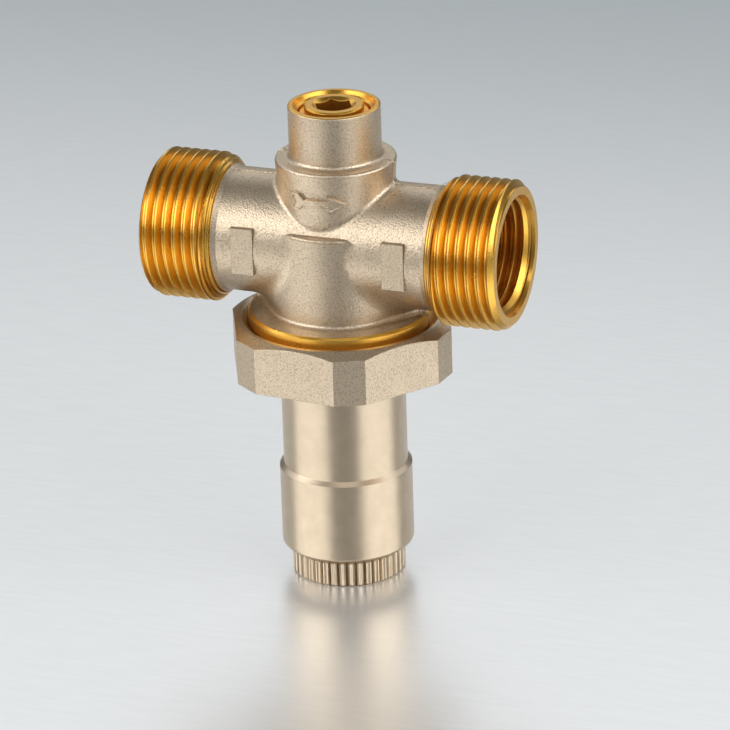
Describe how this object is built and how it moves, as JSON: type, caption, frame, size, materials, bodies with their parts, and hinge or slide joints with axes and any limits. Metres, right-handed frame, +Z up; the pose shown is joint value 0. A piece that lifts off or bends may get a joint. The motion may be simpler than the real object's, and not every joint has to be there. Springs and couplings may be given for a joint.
{
  "type": "three way valve",
  "caption": "Nickel-plated brass three way valve with two threaded run ports, a smooth third port on top and a spring housing with a knurled adjuster below.",
  "frame": {"origin": "centre of the knurled ring's foot, on the surface that the valve stands on; the run axis is 62.7 mm above it", "axes": "+Z up along the stem, +X along the run in the direction of flow, -Y towards the side with the flow arrow"},
  "size_m": [0.0654, 0.039, 0.0876],
  "materials": {
    "nickel_blasted": "blasted forging, nickel plated; threads, flange edge and bores are bare machined brass",
    "nickel_satin": "satin turned brass, nickel plated",
    "raw_brass": "bare machined brass",
    "steel": "stainless steel, turned",
    "spring_steel": "drawn spring wire",
    "rubber": "matt nitrile rubber",
    "acetal": "plain acetal"
  },
  "bodies": {
    "valve_body": {"body": "nickel_blasted", "main_seat": "steel", "port_bush": "raw_brass", "port_bush_seal": "rubber", "union_nut": "nickel_blasted", "spring_housing": "nickel_satin", "friction_ring": "acetal", "thrust_washer": "acetal", "diaphragm": "rubber", "regulating_spring": "spring_steel"},
    "stem_group": {"stem": "steel", "poppet_holder": "raw_brass", "lower_disc": "rubber", "upper_disc": "rubber", "poppet_nut": "raw_brass", "diaphragm_washer": "raw_brass", "spring_cup": "steel", "lock_washer": "steel", "stem_nut": "steel"},
    "travelling_plate": {"spring_plate": "raw_brass"},
    "adjuster": {"spindle": "raw_brass", "spindle_seal": "rubber", "knurled_ring": "nickel_satin", "ring_washer": "steel", "ring_screw": "steel"}
  },
  "joints": [
    {"name": "adjuster_turn", "type": "hinge", "parent": "valve_body", "child": "adjuster", "pos_m": [0, 0, 0.0027], "axis": [0, 0, 1], "range_deg": [-720, 720]},
    {"name": "plate_slide", "type": "slide", "parent": "valve_body", "child": "travelling_plate", "axis": [0, 0, 1], "range_m": [-0.00299, 0.00299], "deforming": ["regulating_spring"]},
    {"name": "stem_slide", "type": "slide", "parent": "valve_body", "child": "stem_group", "axis": [0, 0, 1], "range_m": [-0.0025, 0], "stiffness_N_per_m": 2000, "springref_m": 0.001, "deforming": ["diaphragm", "regulating_spring"]}
  ],
  "couplings": [
    {"joint": "adjuster_turn", "follows": "plate_slide", "rad_per_m": 4188.8}
  ]
}
